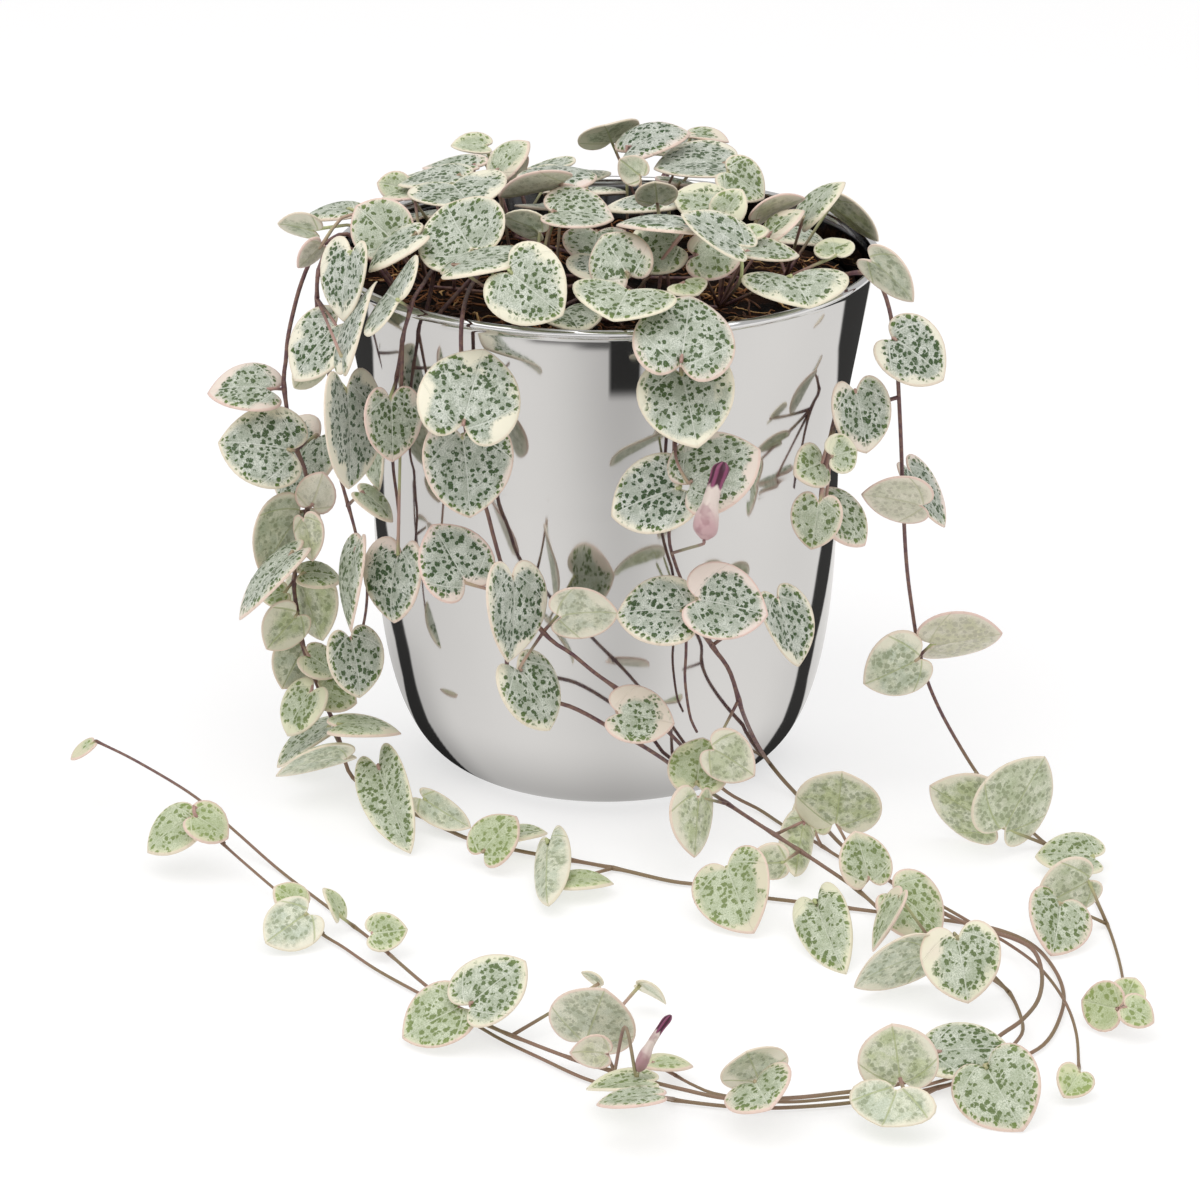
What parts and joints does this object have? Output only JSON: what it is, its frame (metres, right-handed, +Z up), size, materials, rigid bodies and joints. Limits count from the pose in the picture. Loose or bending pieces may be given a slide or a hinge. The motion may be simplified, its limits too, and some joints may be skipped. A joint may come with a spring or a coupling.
{
  "type": "string_of_hearts",
  "caption": "Variegated string of hearts with trailing stems of small heart-shaped leaves, in a tapered, round-bottomed polished metal pot.",
  "frame": {"origin": "The middle of the pot's foot, on the surface that the pot stands on.", "axes": "+Z up along the pot's axis. +X is to the right and -Y towards the viewer as the picture shows it, so the stems trail over the table on the -Y side."},
  "size_m": [0.2243, 0.2608, 0.1429],
  "materials": {
    "polished_metal": "polished",
    "coir": "rough",
    "foliage": "satin",
    "petal": "matte"
  },
  "bodies": {
    "root": {"pot": "polished_metal", "soil": "coir", "crown": "foliage", "strand_left_long": "foliage", "strand_front_left": "foliage", "strand_front_middle": "foliage", "strand_left_inner": "foliage", "strand_left_wall": "foliage", "strand_right_outer": "foliage", "strand_back_left": "foliage", "strand_back_right": "foliage", "flower_upper": "petal", "flower_lower": "petal", "flower_bud": "petal"}
  },
  "joints": []
}
